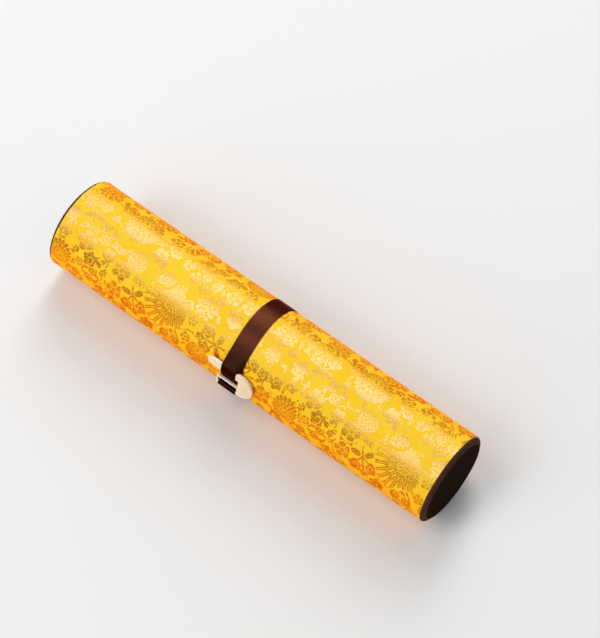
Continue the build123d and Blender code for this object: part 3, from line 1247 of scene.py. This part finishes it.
@dataclass
class TieRibbon:
    """The ribbon: twice round the roll, through the clasp, in millimetres and degrees."""

    width: float = 15.6
    thickness: float = 0.6
    gap: float = 0.05
    shift_at_clasp: float = -0.45
    shift_on_top: float = -1.6
    leans_over: tuple = (50.0, 110.0)
    leans_back: tuple = (155.0, 205.0)
    clasp_angle: float = 168.0
    clasp_back: float = 36.95
    clasp_front: float = 39.35
    thin_bar_top: float = -3.4
    tongue_bottom: float = 3.8
    tongue_top: float = 10.9
    low_bar_top: float = -8.9
    clasp_foot: float = -11.5
    hem_overlap: float = 15.0
    flap: tuple = (17.0, 24.0)
    spacing: float = 0.1
    smooth_points: int = 12
    columns: int = 15
    step: float = 0.75
    top_rows: tuple = (90, 160)
    crown: float = 0.03
    right_droop: float = 1.0
    left_droop: float = 0.2
    droops_from: float = 0.55
    most_lift: float = 3.0
    shape: RollShape = field(default_factory=RollShape)

    def on_clasp(self, v: float, n: float) -> np.ndarray:
        """The place at height v up the clasp and n out from the axis, from the axis."""
        return direction(self.clasp_angle) * n + direction(self.clasp_angle - 90.0) * v

    @staticmethod
    def arc(middle: np.ndarray, radius: float, start: float, stop: float) -> np.ndarray:
        """Points along an arc, from start to stop in degrees."""
        count = max(3, int(abs(start - stop) / 0.25))
        return middle + radius * direction(np.linspace(start, stop, count))

    def under(self, radius: float, height: float, start: float, stop: float) -> np.ndarray:
        """Points along a turn under the roll, pressed flat at a height over the floor."""
        points = self.arc(np.zeros(2), radius, start, stop)
        return np.maximum(points, [-FAR_MM, height - AXIS_MM])

    @staticmethod
    def follow(line: np.ndarray, run: np.ndarray, at: np.ndarray) -> np.ndarray:
        """The points of a line at other distances along it."""
        return np.column_stack([np.interp(at, run, line[:, axis]) for axis in (0, 1)])

    def corners(self) -> np.ndarray:
        """The ribbon's route before it is smoothed.

        Returns:
            Points on its arcs and straight stretches, as y and z from the axis.
        """
        shape, space, zero = self.shape, self.gap + self.thickness / 2, np.zeros(2)
        pitch = self.thickness + self.gap
        inner = shape.front_radius - shape.bed_depth + space
        outer, back, hem = inner + pitch, inner + shape.step, shape.hem_radius + space
        hem_middle = direction(shape.hem_angle) * shape.hem_offset
        back_middle = direction(shape.hem_angle) * shape.step
        low, front = shape.bed_floor - space, self.clasp_front + space

        def spread(radius: float, ridge: float, distance: float) -> float:
            """Half the angle between the straight stretches beside the hem."""
            return math.degrees(math.acos((radius - ridge) / distance))

        def seen(point: np.ndarray, middle: np.ndarray, radius: float, side: float) -> float:
            """The angle at which a straight stretch to the point leaves the circle.

            Args:
                point: Where the stretch ends.
                middle: The circle's middle.
                radius: The circle's radius.
                side: 1 or -1 for the side that the stretch leaves on, or 0 for the point's angle.

            Returns:
                The angle in degrees.
            """
            to = point - middle
            lift = math.degrees(math.acos(min(1.0, radius / np.hypot(*to))))
            return math.degrees(math.atan2(to[1], to[0])) % 360.0 + side * lift

        bar = self.on_clasp(self.thin_bar_top, self.clasp_back - space - 0.02)
        foot = self.on_clasp(self.tongue_bottom, front)
        tip = self.on_clasp(self.tongue_top + 0.17, front)
        slot = self.low_bar_top + self.gap + space
        slot_back = self.on_clasp(slot, math.sqrt(outer**2 - slot**2))
        slot_front = self.on_clasp(slot, front)
        low_front = self.on_clasp(self.clasp_foot - space, front)
        flap = [self.clasp_angle + math.degrees(part / (outer + pitch)) for part in self.flap]
        off = shape.hem_angle - spread(inner, hem, shape.hem_offset)
        near = shape.hem_angle + spread(back, hem + pitch, shape.hem_offset - shape.step)
        off_out = shape.hem_angle - spread(outer, hem + pitch, shape.hem_offset)
        return np.vstack([
            self.arc(hem_middle, hem, shape.hem_angle + self.hem_overlap, off),
            self.under(inner, low, off, seen(bar, zero, inner, 1.0) - 360.0),
            [bar, foot, tip],
            self.arc(back_middle, back, seen(tip, back_middle, back, -1.0), near),
            self.arc(hem_middle, hem + pitch, near, off_out),
            self.under(outer, low - pitch, off_out, seen(slot_back, zero, outer, 0.0) - 360.0),
            [slot_back, slot_front, low_front],
            self.arc(zero, outer + pitch, *flap),
        ])

    def route(self) -> np.ndarray:
        """The ribbon's centre line from the hem to its sewn flap.

        Returns:
            Points one spacing apart, as y and z from the axis.
        """
        rough = self.corners()
        run = np.concatenate([[0.0], np.cumsum(np.hypot(*np.diff(rough, axis=0).T))])
        keep = np.concatenate([[True], np.diff(run) > 1e-6])
        even = np.arange(0.0, run[-1], self.spacing)
        line = self.follow(rough[keep], run[keep], even)
        reach = self.smooth_points
        window = np.exp(-0.5 * (np.arange(-reach, reach + 1) / (0.3 * reach)) ** 2)
        window /= window.sum()
        padded = np.pad(line, ((reach, reach), (0, 0)), "edge")
        return np.column_stack([np.convolve(part, window, "valid") for part in padded.T])

    def sideways(self, point: np.ndarray, on_top_layer: np.ndarray) -> np.ndarray:
        """How far the ribbon's middle lies along the roll, as it leans over near the top.

        Args:
            point: Places on its route, as y and z from the axis.
            on_top_layer: One where the ribbon lies on the outer of its layers, else zero.

        Returns:
            The shifts along X.
        """
        turn = np.degrees(np.arctan2(point[:, 1], -point[:, 0]))
        (start, full), (back, end) = self.leans_over, self.leans_back
        rise = np.clip((turn - start) / (full - start), 0.0, 1.0)
        rise = rise * np.clip((end - turn) / (end - back), 0.0, 1.0)
        rise = np.where(turn < -60.0, 0.0, rise) * on_top_layer
        rise = rise * rise * (3.0 - 2.0 * rise)
        return self.shift_at_clasp + (self.shift_on_top - self.shift_at_clasp) * rise

    def lay(self, piece: Piece, count: int, across: np.ndarray) -> tuple[np.ndarray, float]:
        """Lay a flat grid's vertices along the route.

        Args:
            piece: The grid, two wide and two long.
            count: How many rows it has.
            across: How far across the ribbon each vertex lies, from -1 to 1.

        Returns:
            How far along the ribbon each vertex lies, and how long the ribbon is.
        """
        line = self.route()
        run = np.arange(len(line)) * self.spacing
        at = np.linspace(0.0, run[-1], count)
        middle = self.follow(line, run, at)
        ahead = np.gradient(middle, axis=0)
        ahead /= np.hypot(*ahead.T)[:, None]
        out = np.column_stack([-ahead[:, 1], ahead[:, 0]])
        out = out * np.sign(np.sum(out * middle, axis=1))[len(out) // 2]
        on_top_layer, over = np.zeros(count), np.argmax(middle[:, 1])
        on_top_layer[max(0, over - self.top_rows[0]) : over + self.top_rows[1]] = 1.0
        row = np.rint((Maker.read(piece.data.vertices, "co")[:, 0] + 1.0) / 2.0 * (count - 1))
        row = row.astype(int)
        lift = np.hypot(*middle.T) - (self.shape.front_radius + self.thickness)
        lift = np.clip(lift, 0.0, self.most_lift) * on_top_layer
        margin = (np.abs(across) - self.droops_from) / (1.0 - self.droops_from)
        droop = np.where(across > 0, self.right_droop, self.left_droop) * lift[row]
        droop = droop * np.clip(margin, 0.0, 1.0) ** 1.6
        place = middle[row] + out[row] * (self.crown * (1.0 - across**2) - droop)[:, None]
        x = self.sideways(middle, on_top_layer)[row] + across * self.width / 2
        Maker.put(piece, np.column_stack([x, place[:, 0], place[:, 1] + AXIS_MM]) * MM)
        return at[row], float(run[-1])

    def build(self) -> Piece:
        """Lay a grid along the route, map it as cloth and give it its thickness.

        Returns:
            The ribbon.
        """
        count = int((len(self.route()) - 1) * self.spacing / self.step)
        Maker.deselect()
        bpy.ops.mesh.primitive_grid_add(
            x_subdivisions=count - 1, y_subdivisions=self.columns - 1, size=2.0, calc_uvs=True
        )
        piece = bpy.context.object
        piece.name = piece.data.name = "ribbon_band"
        across = np.sin(Maker.read(piece.data.vertices, "co")[:, 1] * math.pi / 2)
        along, length = self.lay(piece, count, across)
        corner = Maker.read(piece.data.loops, "vertex_index", 1, int)[:, 0]
        cloth = np.column_stack([across * self.width / 2, along])[corner] * MM
        piece.data.uv_layers[0].name = "cloth"
        piece.data.uv_layers["cloth"].data.foreach_set("uv", cloth.ravel())
        Maker.take(piece)
        solidify = piece.modifiers.new("Solidify", "SOLIDIFY")
        solidify.thickness, solidify.offset = self.thickness * MM, 0.0
        bpy.ops.object.modifier_apply(modifier=solidify.name)
        Maker.face_out(piece, smooth_deg=50)
        Maker.dress(piece, RibbonFinish())
        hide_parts("tie_ribbon")
        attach(piece, "root")
        log.info("%s: %.0f mm long, %d faces", piece.name, length, len(piece.data.polygons))
        return piece


@dataclass
class PaperRoll:
    """The wound paper with its brocade face, its hem and its open ends, in millimetres."""

    shape: RollShape = field(default_factory=RollShape)
    pattern: BrocadePattern = field(default_factory=BrocadePattern)
    ribbon: TieRibbon = field(default_factory=TieRibbon)
    around: int = 232
    around_hem: int = 16
    around_bore: int = 48
    cuts: tuple = (7, 43)
    wave: float = 0.1
    still_ends: float = 12.0
    groove_gap: float = 0.3
    groove_edge: float = 0.9
    rod_radius: float = 7.1
    stave_radius: float = 3.7
    stave_base: float = 36.95

    def outline(self) -> np.ndarray:
        """Space the section's directions, closer together round the hem.

        Returns:
            The directions in degrees, from the hem's near foot all round.
        """
        foot, spread = self.shape.hem_foot, 2 * self.shape.hem_spread
        ridge = np.linspace(foot, foot + spread, self.around_hem, endpoint=False)
        rest = self.around - self.around_hem
        return np.concatenate([ridge, np.linspace(foot + spread, foot + 360.0, rest, False)])

    def hollow(self) -> np.ndarray:
        """The outline of the hem's hollow: a circle cut off flat on the roll's side.

        Returns:
            The outline's y and z from the axis.
        """
        lean = self.shape.hem_angle
        drop = self.stave_base - self.shape.hem_offset
        half = math.acos(drop / self.stave_radius)
        arc = direction(lean + np.degrees(np.linspace(-half, half, 22))) * self.stave_radius
        base = np.linspace(1.0, -1.0, 6)[1:-1] * self.stave_radius * math.sin(half)
        flat = direction(lean) * drop + np.outer(base, direction(lean + 90.0))
        return np.vstack([arc, flat]) + direction(lean) * self.shape.hem_offset

    def groove(self, x: np.ndarray, angle: np.ndarray) -> np.ndarray:
        """How deep in the ribbon's bed places along and round the roll lie.

        Args:
            x: The places along the roll in millimetres.
            angle: Their directions in the section, in degrees.

        Returns:
            One where the bed has its full depth, and zero beside it.
        """
        middle = self.ribbon.sideways(direction(angle) * self.shape.front_radius, np.ones(len(x)))
        reach = self.ribbon.width / 2 + self.groove_gap + 0.5
        return np.clip((reach - np.abs(x - middle)) / self.groove_edge, 0.0, 1.0)

    def press(self, roll: Piece) -> None:
        """Sink the ribbon's bed and give the wound paper its slight waves.

        Args:
            roll: The plain tube, whose vertices are moved.
        """
        shape = self.shape
        x, y, z = Maker.read(roll.data.vertices, "co").T / MM
        lean = np.arctan2(z - AXIS_MM, y)
        angle = np.degrees(lean)
        bed = self.groove(x, angle)
        radius = shape.radius(angle, shape.bed_depth * bed, shape.bed_floor * bed)
        ends = np.clip((shape.length / 2 - np.abs(x)) / self.still_ends, 0.0, 1.0)
        wave = np.sin(x / 23.0 + 2.0 * np.sin(lean * 2.0)) * np.sin(lean * 3.0 + x / 61.0)
        wave += 0.6 * np.sin(x / 9.0 + lean * 5.0)
        free = np.clip((z - 3.0) / 6.0, 0.0, 1.0) * ends * (1.0 - bed)
        radius += self.wave * 0.5 * (wave - 1.0) * free
        y, z = (direction(angle) * radius[:, None]).T
        Maker.put(roll, np.column_stack([x, y, z + AXIS_MM]) * MM)

    def map_cloth(self, roll: Piece) -> None:
        """Give every face corner its place on the cloth and in its figure.

        Args:
            roll: The tube of four-sided faces.
        """
        mesh, foot = roll.data, self.shape.hem_foot
        x, y, z = Maker.read(mesh.vertices, "co").T / MM
        angle = np.degrees(np.arctan2(z - AXIS_MM, y))
        angle = (angle - foot + 0.01) % 360.0 - 0.01
        quads = Maker.read(mesh.loops, "vertex_index", 1, int).reshape(-1, 4)
        x, turn = x[quads], angle[quads]
        seam = turn.max(axis=1) - turn.min(axis=1) > 180.0
        turn[seam] = np.where(turn[seam] < 180.0, turn[seam] + 360.0, turn[seam])
        s = (180.0 - (turn + foot)) * MM_PER_DEGREE
        self.pattern.lay_out()
        figure, seat = self.pattern.assign(x, s)
        cloth = mesh.uv_layers.new(name="cloth")
        cloth.data.foreach_set("uv", (np.stack([x, s], -1) * MM).ravel())
        for name, values in (("figure", figure), ("figure_seat", seat)):
            attribute = mesh.attributes.new(name, "FLOAT_VECTOR", "CORNER")
            attribute.data.foreach_set("vector", values.ravel())
        log.info("brocade: %d figures in the repeat", len(self.pattern.figures))

    def bare_paper(self, roll: Piece) -> np.ndarray:
        """Which faces are bare paper: the ends, the bore and the hem's hollow.

        Args:
            roll: The closed roll.

        Returns:
            One for a face of bare paper and zero for a face of brocade.
        """
        normal = Maker.read(roll.data.polygons, "normal")
        middle = Maker.read(roll.data.polygons, "center")[:, 1:] - [0.0, AXIS_MM * MM]
        inward = np.sum(normal[:, 1:] * middle, axis=1) < 0
        deep = np.hypot(*middle.T) < self.stave_base * MM
        return ((np.abs(normal[:, 0]) > 0.7) | (inward & deep)).astype(np.int32)

    def build(self) -> Piece:
        """Model the roll and dress it.

        Returns:
            The roll.
        """
        length, angle = self.shape.length, self.outline()
        section = direction(angle) * self.shape.radius(angle)[:, None]
        roll = Maker.tube("brocade_roll", section, length, self.cuts)
        self.press(roll)
        self.map_cloth(roll)
        bore = direction(np.linspace(0, 360, self.around_bore, endpoint=False)) * self.rod_radius
        tubes = Maker.tube("bore", bore, length), Maker.tube("hollow", self.hollow(), length)
        Maker.weld(roll, *tubes)
        for side in (-1.0, 1.0):
            Maker.close_end(roll, side * length / 2 * MM)
        Maker.face_out(roll, smooth_deg=40)
        Maker.dress(roll, BrocadeFinish(), PaperEdgeFinish())
        roll.data.polygons.foreach_set("material_index", self.bare_paper(roll))
        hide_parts("paper_roll")
        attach(roll, "root")
        log.info("%s: %d faces", roll.name, len(roll.data.polygons))
        return roll


@dataclass
class SolidParts:
    """Pieces that keep their solids and get a finish.

    Attributes:
        nodes: The pieces' names.
        finish: What they get.
    """

    nodes: tuple[str, ...]
    finish: Finish

    def dress(self) -> None:
        """Give each its finish."""
        made = self.finish.material()
        for name in self.nodes:
            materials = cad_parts[name].data.materials
            materials.clear()
            materials.append(made)
            log.info("%s: %s", name, made.name)


@dataclass(frozen=True)
class Softbox:
    """One soft lamp.

    Attributes:
        turn_deg: Where its middle stands round the roll, from the front over the top.
        height_deg: How many degrees it spans round the roll.
        width_m: Its size along the roll.
        radiance: How bright its face is, where white is one.
        mirrored: Whether it shows in reflections.
        distance_m: How far it hangs from the roll.
        lean_x: How far it hangs to the roll's side, as a share of the distance.
    """

    turn_deg: float
    height_deg: float
    width_m: float
    radiance: float
    mirrored: bool = True
    distance_m: float = 3.0
    lean_x: float = -0.284

    def hang(self) -> None:
        """Hang the lamp, facing the roll."""
        Maker.deselect()
        bpy.ops.object.light_add(type="AREA")
        lamp = bpy.context.object
        turn = math.radians(self.turn_deg)
        level = math.sqrt(1.0 - self.lean_x**2)
        away = Vector((self.lean_x, -math.cos(turn) * level, math.sin(turn) * level))
        along = Vector((1.0, 0.0, 0.0))
        side = (along - away * along.dot(away)).normalized()
        turned = Matrix((side, away.cross(side), away)).transposed().to_4x4()
        turned.translation = away * self.distance_m + Vector((0, 0, AXIS_MM * MM))
        lamp.matrix_world = turned
        lamp.visible_glossy = self.mirrored
        lamp.data.shape = "RECTANGLE"
        lamp.data.size = self.width_m
        lamp.data.size_y = 2 * self.distance_m * math.tan(math.radians(self.height_deg / 2))
        lamp.data.energy = self.radiance * math.pi * (lamp.data.size * lamp.data.size_y)


@dataclass
class Studio:
    """Camera, floor, lamps and world."""

    camera_mm: tuple = (583.30, -740.26, 1818.89)
    right: tuple = (0.7895, 0.6136, 0.0125)
    down: tuple = (0.5441, -0.6904, -0.4767)
    forward: tuple = (-0.2839, 0.3831, -0.8790)
    lens_mm: float = 154.13
    sensor_mm: float = 36.0
    floor_m: float = 12.0
    world_light: float = 0.27
    lamps: tuple[Softbox, ...] = (
        Softbox(62.5, 40.0, 0.9, 4.3),
        Softbox(130.0, 44.0, 0.9, 4.5),
        Softbox(150.0, 40.0, 3.2, 1.85, mirrored=False),
        Softbox(28.0, 52.0, 3.2, 1.75, mirrored=False),
    )

    def set_up(self) -> None:
        """Make everything round the scroll."""
        self.place_camera()
        self.lay_floor()
        for lamp in self.lamps:
            lamp.hang()
        self.fill_world()
        bpy.context.scene.view_settings.view_transform = "Standard"

    def place_camera(self) -> None:
        """Put the camera where the photograph was taken from."""
        Maker.deselect()
        bpy.ops.object.camera_add()
        camera = bpy.context.object
        right, down, forward = (Vector(v) for v in (self.right, self.down, self.forward))
        turned = Matrix((right, -down, -forward)).transposed()
        camera.matrix_world = Matrix.Translation(Vector(self.camera_mm) * MM) @ turned.to_4x4()
        camera.data.lens = self.lens_mm
        camera.data.sensor_width = self.sensor_mm
        camera.data.clip_start = 0.05
        bpy.context.scene.camera = camera

    def lay_floor(self) -> None:
        """Lay a wide pale floor."""
        Maker.deselect()
        bpy.ops.mesh.primitive_plane_add(size=self.floor_m)
        floor = bpy.context.object
        floor.name = "studio_floor"
        Maker.dress(floor, FloorFinish())

    def fill_world(self) -> None:
        """White to the camera and in reflections, dim as a light."""
        world = bpy.data.worlds.new("studio_world")
        bpy.context.scene.world = world
        world.use_nodes = True
        world.node_tree.nodes.clear()
        bench = Bench(world.node_tree)
        strength = bench.seen_by("Camera", "Glossy", "Transmission").blend(self.world_light, 1.0)
        sky = bench.node("Background", {"Color": WHITE, "Strength": strength})
        bench.node("OutputWorld", {"Surface": sky.outputs[0]})


def main() -> None:
    """Build the scroll and its studio, and report each piece."""
    logging.basicConfig(level=logging.INFO, format="%(name)s: %(message)s")
    PaperRoll().build()
    TieRibbon().build()
    SolidParts(("left_end_disc", "right_end_disc"), LacquerFinish()).dress()
    SolidParts(("roller_rod", "stave"), PlainWoodFinish()).dress()
    SolidParts(("clasp",), IvoryFinish()).dress()
    Studio().set_up()
    Maker.deselect()


if __name__ == "__main__":
    main()
